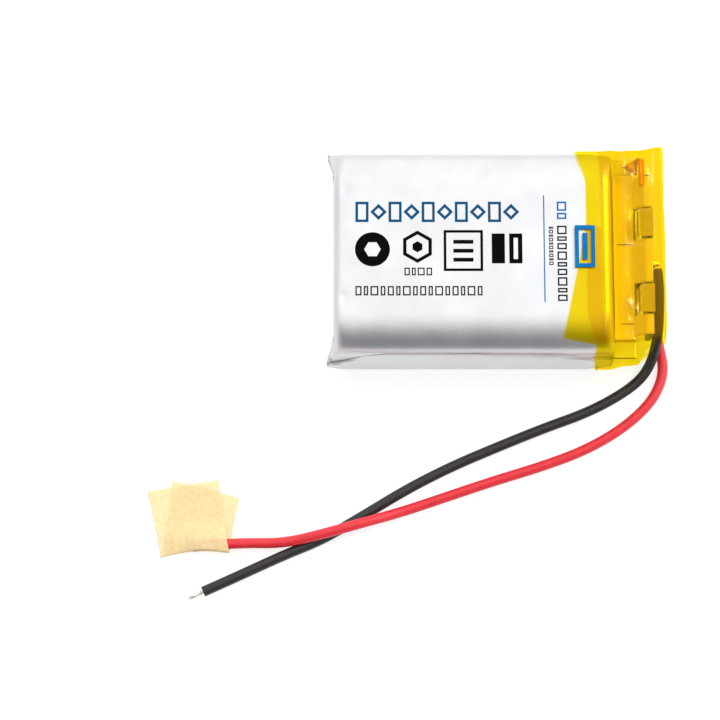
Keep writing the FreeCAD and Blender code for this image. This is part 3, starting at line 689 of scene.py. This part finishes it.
def centreline(points):
    """Points along a route's own spline, in millimetres, read from a curve with no bevel."""
    holder = round_curve("centreline", [points], 0.0)
    bpy.context.view_layer.update()
    mesh = bpy.data.meshes.new_from_object(holder)
    line = [vertex.co / MM for vertex in mesh.vertices]
    bpy.data.objects.remove(holder)
    bpy.data.meshes.remove(mesh)
    return line


def stepped(line, pace):
    """The same line at even steps, with each point's direction and distance from the start."""
    found = []
    travelled = 0.0
    goal = 0.0
    for start, stop in zip(line, line[1:]):
        run = (stop - start).length
        while goal <= travelled + run and run > 0:
            found.append((start.lerp(stop, (goal - travelled) / run), (stop - start) / run, goal))
            goal += pace
        travelled += run
    return found


def twisted_core(name, points, material, node):
    """Seven fine strands twisted round a lead's centreline, closing up under solder at the tip."""
    line = stepped(centreline(points), 0.3)
    whole = line[-1][2]
    strands = []
    for strand in range(STRANDS):
        route = []
        for spot, along, distance in line:
            sideways, upward = square_to(along)
            angle = distance * TWIST + strand * 2 * math.pi / (STRANDS - 1)
            reach = 0.0 if strand == STRANDS - 1 else STRAND
            reach *= 1 - 0.15 * eased((distance - whole + 0.8) / 0.8)
            route.append(tuple(spot + (sideways * math.cos(angle)
                                       + upward * math.sin(angle)) * reach))
        strands.append(route)
    piece = round_curve(name, strands, STRAND, sides=2, steps=2)
    return finish_piece(piece, material, [node])


def solder_tip(name, points, material):
    """Solder that has run over the bare strands: a slightly lumpy sleeve with a rounded end."""
    line = stepped(centreline(points), 0.08)
    whole = line[-1][2]
    rings = []
    for spot, along, distance in line:
        left = whole - distance
        if left > BARE - 0.25:
            continue
        radius = TIP_RADIUS + 0.03 * noise.noise(Vector((distance * 1.7, 2.0, 0.0)))
        radius *= math.sqrt(max(0.02, 1 - (1 - min(left / 0.35, 1.0)) ** 2))
        radius *= 0.86 + 0.14 * eased((BARE - left) / 0.6)
        sideways, upward = square_to(along)
        rings.append([spot + (sideways * math.cos(turn) + upward * math.sin(turn)) * radius
                      * (1 + 0.06 * math.sin(6 * turn + distance * 5.4))
                      for turn in spread(0, 2 * math.pi, TIP_SIDES + 1)[:-1]])
    sleeve = [point for ring in rings for point in ring]
    faces = grid_faces(len(rings), TIP_SIDES, closed=True)
    faces.append(tuple(range(TIP_SIDES)))
    faces.append(tuple(range(len(sleeve) - 1, len(sleeve) - TIP_SIDES - 1, -1)))
    piece = raw_mesh(name, sleeve, faces)
    face_outwards(piece)
    return finish_piece(piece, material)


black_material = mottled("black_insulation", (0.006, 0.005, 0.006), (0.014, 0.011, 0.013), 900,
                         rough=(0.36, 0.5))
red_material = mottled("red_insulation", (0.62, 0.014, 0.026), (0.72, 0.020, 0.032), 900,
                       rough=(0.34, 0.46))
tinned_copper = mottled("tinned_copper", (0.62, 0.60, 0.55), (0.86, 0.84, 0.80), 3500,
                        rough=(0.22, 0.4), metallic=1.0)

# Each lead: its colour, its route, its material, how much core is bare at the joint, how long
# its jacket is in metres, and what it carries.
LEADS = (("black", BLACK_ROUTE, black_material, 1.2, 0.0705, []),
         ("red", RED_ROUTE, red_material, 1.0, 0.0694, [paper_flag]))
for colour, route, material, head, length, carried in LEADS:
    cover = cut_back(route, head, BARE)
    jacket = round_curve(colour + "_lead", [cover], JACKET)
    finish_piece(jacket, material, [colour + "_lead_jacket"])
    core = twisted_core(colour + "_strands", route, tinned_copper,
                        colour + "_lead_core")
    tip = solder_tip(colour + "_tinned_tip", route, tinned_copper)

# ---- polyimide tape

TAPE = 0.06
BAND_START = 10.05
BAND_STOP = 19.5
# Sizes of the taped end, each by place along the cell: its top, the radii of its two upper
# edges, its half widths near and far at the top, middle and base, and its underside.
TAPE_TOP = ((10, 10.13), (12.1, 10.13), (12.9, 9.85), (13.4, 9.3), (13.9, 8.6), (14.6, 8.0),
            (16.2, 7.74), (18.3, 7.52), (18.9, 7.1), (19.3, 6.6), (19.5, 5.9))
NEAR_ROUND = ((10, 3.5), (12.4, 3.5), (13.6, 1.9), (15.0, 1.1), (18.1, 1.1), (18.6, 1.6),
              (19.5, 1.3))
FAR_ROUND = ((10, 3.5), (12.4, 3.5), (13.6, 1.9), (15.0, 0.9), (18.4, 0.7), (19.5, 0.4))
NEAR_TOP = ((10, 12.35), (12.4, 12.35), (14.0, 11.2), (17.0, 10.6), (18.1, 10.4), (18.6, 9.7),
            (19.5, 9.4))
NEAR_MIDDLE = ((10, 12.39), (16.4, 12.4), (17.4, 11.4), (19.5, 9.8))
NEAR_BASE = ((10, 12.37), (13.5, 12.37), (14.6, 12.0), (16.8, 11.8), (19.5, 9.9))
FAR_TOP = ((10, 12.35), (14.0, 12.35), (17.0, 12.5), (19.5, 13.1))
FAR_MIDDLE = ((10, 12.39), (16.4, 12.42), (19.5, 12.8))
FAR_BASE = ((10, 12.37), (13.5, 12.37), (16.0, 12.2), (19.5, 12.3))
TAPE_BASE = ((10, 0.0), (15.0, 0.05), (17.5, 0.4), (19.5, 2.6))
MIDDLE_HEIGHT = 5.0
OVERLAP_START = 11.7
ACROSS = 130
EDGE_COUNT = 16
BASE_RADIUS = 0.6
# The tape's end, closed over in rings towards a point across and up.
END_CENTRE = (1.0, 4.4)
END_RINGS = (0.1, 0.25, 0.45, 0.7, 0.9)
# The patch: its far corner, its slant, its length, its height over the cell where it lies flat,
# and the near edge it turns down over.
PATCH_CORNER = (10.1, 2.87)
PATCH_SLANT = math.radians(-11.8)
PATCH_LONG = 13.6
PATCH_LIFT = 0.24
PATCH_FLAT, PATCH_ROUND = 8.42, 3.5
# The mouth for the leads: the side and height where it starts, and a start along the cell with
# a slope across it, below that height and above.
MOUTH_SIDE, MOUTH_STEP = -9.6, 4.5
MOUTH_BELOW, MOUTH_ABOVE = (18.05, 0.6), (18.35, 0.3)


def corner_arc(y, z, radius, turn, count):
    """Points on a corner's quarter arc, from an angle anticlockwise, seen down the +X axis."""
    return [(y + radius * math.cos(angle), z + radius * math.sin(angle))
            for angle in spread(turn, turn + math.pi / 2, count)]


def tape_section(place):
    """Closed cross-section of the tape's outer face at one place along the cell."""
    top, low = between(TAPE_TOP, place, 0.2), between(TAPE_BASE, place)
    near_radius, far_radius = between(NEAR_ROUND, place), between(FAR_ROUND, place)
    small = BASE_RADIUS
    near_top, far_top = -between(NEAR_TOP, place), between(FAR_TOP, place)
    near_low, far_low = -between(NEAR_BASE, place), between(FAR_BASE, place)
    near_middle = (-between(NEAR_MIDDLE, place), MIDDLE_HEIGHT)
    far_middle = (between(FAR_MIDDLE, place), MIDDLE_HEIGHT)
    far_arc = corner_arc(far_top - far_radius, top - far_radius, far_radius, 0.0, EDGE_COUNT)
    near_arc = corner_arc(near_top + near_radius, top - near_radius, near_radius,
                          math.pi / 2, EDGE_COUNT)
    near_foot = corner_arc(near_low + small, low + small, small, math.pi, 7)
    far_foot = corner_arc(far_low - small, low + small, small, 1.5 * math.pi, 7)

    def run(start, stop, count):
        return [(y, z) for y, z in zip(spread(start[0], stop[0], count)[1:-1],
                                       spread(start[1], stop[1], count)[1:-1])]

    return (far_arc + run(far_arc[-1], near_arc[0], ACROSS) + near_arc
            + run(near_arc[-1], near_middle, 12) + [near_middle]
            + run(near_middle, near_foot[0], 16) + near_foot
            + run(near_foot[-1], far_foot[0], 40) + far_foot
            + run(far_foot[-1], far_middle, 16) + [far_middle]
            + run(far_middle, far_arc[0], 12))


def band_edge(side, height):
    """Where the band starts along the cell: further out on the far side, less on the near."""
    near = eased((-side - 7.0) / 5.2)
    return (BAND_START - 0.9 * eased((side - 7.5) / 4.5) + 1.15 * near
            + 0.45 * near * eased((6.0 - height) / 5.0))


# Creases in the tape's top: points along each, the steepest slope of its sides and its reach.
CREASES = (
    (((11.80, 7.3), (11.76, 0.0), (11.82, -8.0), (12.5, -8.9), (14.0, -9.7), (15.8, -10.3)),
     0.42, 0.36),
    (((13.6, 8.2), (14.7, 7.9), (16.6, 6.3)), 0.30, 0.52),
    (((14.3, 7.4), (16.1, 5.2)), 0.29, 0.48),
    (((14.2, 3.5), (15.7, 2.6)), 0.28, 0.46),
    (((17.2, 10.2), (17.7, 7.6), (17.5, 4.6)), 0.34, 0.60),
    (((10.9, 8.1), (11.5, 7.5), (11.0, 6.2)), 0.42, 0.34),
    (((16.5, 1.9), (17.2, 0.4)), 0.30, 0.44),
    (((13.6, -9.0), (15.2, -9.6)), 0.30, 0.44),
)


def segment_distance(spot, start, stop):
    """Distance from a point to a straight piece of a crease, seen from above."""
    run = (stop[0] - start[0], stop[1] - start[1])
    share = ((spot[0] - start[0]) * run[0] + (spot[1] - start[1]) * run[1])
    share = min(max(share / (run[0] ** 2 + run[1] ** 2), 0.0), 1.0)
    return math.hypot(spot[0] - start[0] - run[0] * share, spot[1] - start[1] - run[1] * share)


def tape_relief(spot):
    """Height of the tape's wrinkles, looser past the cell's end."""
    x, y, z = spot
    loose = eased((x - 12.6) / 1.6)
    soft = wave(spot, 1.0, (0.55, 0.35, 0.4), 2.0)
    sharp = 1 - abs(noise.noise(Vector((x * 0.35 + 7.0, y * 0.42, z * 0.45)))) * 2.4
    height = 0.008 * soft + loose * (0.05 * soft + 0.03 * sharp)
    if z > 6.0:
        for path, slope, width in CREASES:
            near = min(segment_distance((x, y), start, stop)
                       for start, stop in zip(path, path[1:]))
            height += slope * width / math.pi * (1 + math.cos(math.pi * min(near / width, 1.0)))
    return height


def tape_band():
    """The tape wrapped round the terminal end, with its open mouth where the leads leave."""
    places = sorted(spread(BAND_START, BAND_STOP, 90) + spread(11.55, 12.05, 9))
    points = []
    for place in places:
        section = tape_section(place)
        columns = len(section)
        slide = 1 - eased((place - BAND_START) / 2.1)
        for y, z in section:
            points.append((place + (band_edge(y, z) - BAND_START) * slide, y, z))
    rows = len(places)
    middle = Vector((BAND_STOP, *END_CENTRE))
    last = [Vector(point) for point in points[-columns:]]
    for share in END_RINGS:
        for point in last:
            inward = point.lerp(middle, share)
            points.append((BAND_STOP + 0.05 - 0.04 * share, inward.y, inward.z))
        rows += 1
    faces = grid_faces(rows, columns, closed=True)
    faces.append(tuple(range((rows - 1) * columns, rows * columns)))
    kept = []
    for face in faces:
        centre = sum((Vector(points[corner]) for corner in face), Vector()) / len(face)
        start, slope = MOUTH_BELOW if centre.z < MOUTH_STEP else MOUTH_ABOVE
        past = centre.y - MOUTH_SIDE
        if past >= 0 or centre.x <= start + slope * past:
            kept.append(face)
    piece = raw_mesh("tape_band", points, kept)
    shape = bmesh.new()
    shape.from_mesh(piece.data)
    loose = [vertex for vertex in shape.verts if not vertex.link_faces]
    bmesh.ops.delete(shape, geom=loose, context="VERTS")
    bmesh.ops.recalc_face_normals(shape, faces=shape.faces)
    topmost = max(shape.faces, key=lambda face: face.calc_center_median().z)
    if topmost.normal.z < 0:
        bmesh.ops.reverse_faces(shape, faces=shape.faces)
    shape.to_mesh(piece.data)
    shape.free()
    ruffle(piece, tape_relief)
    thicken(piece, TAPE)
    return piece


def tape_overlap():
    """The end of the tape, lying over the band where it turns down past the cell."""
    places = sorted(spread(OVERLAP_START, 19.1, 80) + spread(11.72, 12.05, 7))
    points = []
    for place in places:
        upper = tape_section(place)[:ACROSS + EDGE_COUNT + 5]
        columns = len(upper)
        points += [(place, y, z) for y, z in upper]
    piece = raw_mesh("tape_overlap", points, grid_faces(len(places), columns))
    ruffle(piece, tape_relief)
    thicken(piece, TAPE, side=1.0)
    return piece


def tape_patch():
    """The slanted second piece of tape, laid over the band's edge and down the near shoulder."""
    along = Vector((math.cos(PATCH_SLANT), math.sin(PATCH_SLANT)))
    down = Vector((math.sin(PATCH_SLANT), -math.cos(PATCH_SLANT)))
    points = []
    rows, columns = 26, 60
    for row in range(rows):
        for column in range(columns):
            start = Vector(PATCH_CORNER) + down * (PATCH_LONG * column / (columns - 1))
            reach = (OVERLAP_START - start.x) / along.x * row / (rows - 1)
            flat = start + along * reach
            y, z = flat.y, CELL + PATCH_LIFT
            if y < -PATCH_FLAT:
                angle = min((-PATCH_FLAT - y) / (PATCH_ROUND + 0.2), math.pi / 2)
                lift = PATCH_LIFT * (1 + eased((angle - 0.75) / 0.3))
                y = -PATCH_FLAT - (PATCH_ROUND + lift) * math.sin(angle)
                z = CELL - PATCH_ROUND + (PATCH_ROUND + lift) * math.cos(angle)
            points.append((flat.x, y, z + 0.02 * noise.noise(Vector((flat.x, y * 0.6, 4.0)))))
    piece = raw_mesh("tape_patch", points, grid_faces(rows, columns, flip=True))
    thicken(piece, TAPE, side=1.0)
    return piece


def tape_material():
    """Clear glossy polyimide: light passes it tinted, and a share is scattered in its colour."""
    material, tree, shader = new_material("polyimide_tape", ior=2.8)
    streak = noise_texture(tree, 320, detail=3.0)
    link(tree, ramp(tree, streak.outputs["Fac"], (0.3, (0.95, 0.50, 0.003)),
                    (0.7, (1.0, 0.58, 0.006))), shader.inputs["Base Color"])
    link(tree, level(tree, streak.outputs["Fac"], 0.05, 0.12), shader.inputs["Roughness"])
    fine = noise_texture(tree, 900, detail=2.0)
    bump(tree, shader, fine.outputs["Fac"], 0.00001, 0.5)
    let_through(tree, shader, (0.99, 0.924, 0.22), 0.027)
    return material


PLEAT_COUNT = 14
PLEAT_DROP, PLEAT_WAVE = 0.32, 0.10


def tape_fold(name, corners, material):
    """A pleat of tape caught under the top ply, from three or four corners seen from above."""
    first, second, third, fourth = [Vector(corner) for corner in (corners + corners[-1:])[:4]]
    points = []
    for along in spread(0.0, 1.0, PLEAT_COUNT):
        for across in spread(0.0, 1.0, PLEAT_COUNT):
            spot = first.lerp(second, across).lerp(fourth.lerp(third, across), along)
            drop = PLEAT_DROP + PLEAT_WAVE * math.cos(9 * across)
            points.append((spot.x, spot.y, between(TAPE_TOP, spot.x, 0.2) - drop))
    piece = raw_mesh(name, points, grid_faces(PLEAT_COUNT, PLEAT_COUNT))
    face_outwards(piece, weld=0.02)
    thicken(piece, 3 * TAPE, side=0.0)
    return finish_piece(piece, material)


tape = tape_material()
finish_piece(tape_band(), tape, ["polyimide_wrap"])
finish_piece(tape_overlap(), tape)
finish_piece(tape_patch(), tape, ["polyimide_patch"])
# The brown pleat is partly the deeper amber of tape folded over on itself and partly painted shade
# inside the crumpled fold at the far corner.
brown_pleat_painted_shade = mottled("brown_pleat_painted_shade", (0.30, 0.13, 0.004), (0.55, 0.27, 0.008), 1400,
                      rough=(0.2, 0.35))
orange_pleat = mottled("orange_pleat", (0.80, 0.30, 0.004), (0.92, 0.42, 0.008), 900,
                       rough=(0.2, 0.35))
tape_fold("tape_fold_corner", [(14.55, 10.25), (16.5, 11.45), (16.2, 9.4)], brown_pleat_painted_shade)
tape_fold("tape_fold_edge", [(16.5, 11.4), (17.12, 11.3), (17.12, 8.2), (16.55, 8.1)],
          orange_pleat)

# ---- paper on the terrace

PAPER = 0.12
PAPER_START, PAPER_STOP, TONGUE_STOP = 13.36, 16.0, 17.98
PAPER_SIDE = 9.8
PAPER_TONGUES = ((-9.3, -6.95), (-3.2, 1.95), (5.7, 9.4))
# Height of the paper's underside by place: off the wall, along the terrace, over the board.
PAPER_TABLE = ((13.3, 6.0), (13.9, 5.32), (15.7, 5.30), (16.5, 6.15), (17.2, 6.86), (18.0, 6.95))
# Painted shadow lines: dark strips on the paper that stand for the shade along the tab humps' near
# edges, each given by the side, and the places along the cell where it starts and stops.
PAPER_SHADOW_LINES = ((1.55, 14.07, 15.75), (-7.85, 14.41, 15.80))
SHADOW_LINE_HALF, SHADOW_LINE_SKIN, SHADOW_LINE_LIFT = 0.055, 0.01, 0.165


def strips(name, grids, height, skin, side):
    """One thickened piece from strips, each given by its places along the cell and across it."""
    points = []
    faces = []
    for rows, sides in grids:
        first = len(points)
        points += [(x, y, height(x, y)) for x in rows for y in sides]
        faces += [tuple(first + corner for corner in face)
                  for face in grid_faces(len(rows), len(sides))]
    piece = raw_mesh(name, points, faces)
    thicken(piece, skin, side)
    return piece


def paper_strips():
    """The strip on the terrace, and its tongues between the tabs that cover the board's edge."""
    runs = [(PAPER_START, PAPER_STOP, -PAPER_SIDE, PAPER_SIDE)]
    runs += [(PAPER_STOP, TONGUE_STOP, low, high) for low, high in PAPER_TONGUES]
    return [(spread(start, stop, 1 + round((stop - start) / 0.1)),
             spread(low, high, 1 + round((high - low) / 0.35))) for start, stop, low, high in runs]


def paper_height(x, y):
    """Height of the paper's underside, a little uneven."""
    return between(PAPER_TABLE, x, 0.15) + 0.03 * noise.noise(Vector((x, y * 0.8, 6.0)))


def shadow_line_height(x, _):
    """Height of a painted shadow line, just over the paper."""
    return between(PAPER_TABLE, x, 0.15) + SHADOW_LINE_LIFT


paper_material = mottled("terrace_paper", (0.91, 0.85, 0.60), (0.95, 0.90, 0.68), 900,
                         rough=(0.75, 0.9))
finish_piece(strips("terrace_paper_strip", paper_strips(), paper_height, PAPER, 1.0),
             paper_material, ["terrace_paper"])

# Painted shadow: a dark brown material for the strips that stand for shade lines on the terrace
# paper.
painted_shadow_material = mottled("paper_painted_shadow", (0.16, 0.10, 0.04), (0.24, 0.15, 0.06), 900, rough=(0.75, 0.9))
cuts = [(spread(start, stop, 12), (y - SHADOW_LINE_HALF, y + SHADOW_LINE_HALF)) for y, start, stop in PAPER_SHADOW_LINES]
finish_piece(strips("terrace_paper_painted_shadows", cuts, shadow_line_height, SHADOW_LINE_SKIN, 0.0), painted_shadow_material)

# ---- finishes of the CAD pieces

# Nodes that share a finish: their slot, dark and light colours, noise scale, roughness, metal.
FINISHES = (
    (("winding_tape",), "winding_tape",
     (0.12, 0.22, 0.62), (0.18, 0.30, 0.72), 600, (0.3, 0.4), 0.0),
    (("separator_inner", "separator_outer"), "separator",
     (0.82, 0.83, 0.82), (0.92, 0.92, 0.91), 800, (0.5, 0.6), 0.0),
    (("cathode_sheet",), "cathode",
     (0.030, 0.030, 0.034), (0.055, 0.055, 0.06), 900, (0.6, 0.75), 0.0),
    (("anode_sheet",), "anode",
     (0.07, 0.07, 0.075), (0.12, 0.12, 0.125), 900, (0.55, 0.7), 0.1),
    (("positive_tab",), "aluminium_tab",
     (0.72, 0.73, 0.75), (0.85, 0.86, 0.87), 700, (0.25, 0.4), 1.0),
    (("negative_tab",), "nickel",
     (0.60, 0.57, 0.52), (0.74, 0.71, 0.66), 700, (0.22, 0.36), 1.0),
    (("nickel_plate_positive", "nickel_plate_negative"), "nickel",
     (0.44, 0.42, 0.38), (0.54, 0.52, 0.47), 800, (0.3, 0.45), 0.5),
    (("positive_tab_sealant", "negative_tab_sealant"), "tab_sealant",
     (0.55, 0.56, 0.55), (0.68, 0.68, 0.66), 700, (0.4, 0.5), 0.0),
    (("protection_board",), "board_epoxy",
     (0.015, 0.10, 0.045), (0.03, 0.15, 0.07), 1200, (0.3, 0.45), 0.0),
    (("copper_pads",), "copper",
     (0.80, 0.42, 0.20), (0.92, 0.55, 0.30), 1500, (0.25, 0.4), 1.0),
    (("mosfet_body", "protection_chip_body"), "chip_plastic",
     (0.012, 0.012, 0.013), (0.03, 0.03, 0.032), 2500, (0.5, 0.65), 0.0),
    (("mosfet_pins", "protection_chip_pins", "chip_end_caps"), "tinned_metal",
     (0.66, 0.66, 0.66), (0.82, 0.82, 0.83), 2500, (0.25, 0.4), 1.0),
    (("chip_capacitor",), "ceramic_body",
     (0.32, 0.22, 0.13), (0.42, 0.30, 0.19), 2500, (0.45, 0.6), 0.0),
    (("chip_resistors",), "ceramic_body",
     (0.02, 0.02, 0.022), (0.05, 0.05, 0.055), 2500, (0.4, 0.55), 0.0),
    (("black_solder_joint", "red_solder_joint"), "solder",
     (0.60, 0.60, 0.62), (0.80, 0.80, 0.82), 2500, (0.15, 0.3), 1.0),
)
for nodes, slot_name, dark, light, scale, rough, metal in FINISHES:
    for node in nodes:
        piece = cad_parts[node]
        piece.data.materials.clear()
        piece.data.materials.append(mottled(node, dark, light, scale, rough=rough, metallic=metal))

# ---- floor and light

FLOOR_HALF = 1.0
floor_corners = ((-1, -1), (1, -1), (1, 1), (-1, 1))
floor_mesh = bpy.data.meshes.new("floor")
floor_mesh.from_pydata([(x * FLOOR_HALF, y * FLOOR_HALF, FLOOR_Z) for x, y in floor_corners],
                       [], [(0, 1, 2, 3)])
floor = bpy.data.objects.new("floor", floor_mesh)
bpy.context.scene.collection.objects.link(floor)
floor_material, _, floor_shader = new_material("floor", roughness=0.9)
floor_shader.inputs["Base Color"].default_value = (0.32, 0.32, 0.32, 1.0)
floor_shader.inputs["Emission Color"].default_value = (1.0, 1.0, 1.0, 1.0)
floor_shader.inputs["Emission Strength"].default_value = 0.75
floor_shader.inputs["Specular IOR Level"].default_value = 0.1
floor.data.materials.append(floor_material)

world = bpy.data.worlds.new("studio")
bpy.context.scene.world = world
world.use_nodes = True
sky = world.node_tree
sky_place = sky.nodes.new("ShaderNodeTexCoord")
DIM_TILT = math.radians(62)


def dimmed(direction, *stops):
    """Grey levels of the studio by how far its walls lie in a direction."""
    toward = sky.nodes.new("ShaderNodeVectorMath")
    toward.operation = "DOT_PRODUCT"
    toward.inputs[1].default_value = direction
    link(sky, sky_place.outputs["Generated"], toward.inputs[0])
    return ramp(sky, toward.outputs["Value"], *stops)


# A white studio with one dim side, the near wall, and its left side a little dimmer.
near_dim = dimmed((0.0, -math.sin(DIM_TILT), math.cos(DIM_TILT)),
                  (0.30, (1.0, 1.0, 1.0)), (0.50, (0.89, 0.89, 0.89)),
                  (0.655, (0.68, 0.68, 0.68)), (0.76, (0.47, 0.47, 0.475)),
                  (0.86, (0.28, 0.28, 0.29)), (0.985, (0.155, 0.155, 0.168)))
left_dim = dimmed((-1.0, 0.0, 0.0), (0.25, (1.0, 1.0, 1.0)), (0.75, (0.72, 0.73, 0.74)))
both = sky.nodes.new("ShaderNodeVectorMath")
both.operation = "MULTIPLY"
link(sky, near_dim, both.inputs[0])
link(sky, left_dim, both.inputs[1])
link(sky, both.outputs["Vector"], sky.nodes["Background"].inputs["Color"])
sky.nodes["Background"].inputs["Strength"].default_value = 1.5


def softbox(name, place, width, length, power):
    """A narrow area light that faces the cell, with its length across it."""
    data = bpy.data.lights.new(name, "AREA")
    data.shape = "RECTANGLE"
    data.energy = power
    data.size = width
    data.size_y = length
    light = bpy.data.objects.new(name, data)
    light.location = place
    aim = mm(12, 0, 0) - Vector(place)
    light.rotation_euler = aim.to_track_quat("-Z", "Y").to_euler()
    bpy.context.scene.collection.objects.link(light)


softbox("right_softbox", place=(0.45, 0.24, 0.49), width=0.011, length=0.38, power=2.0)
bpy.context.scene.view_settings.view_transform = "Standard"
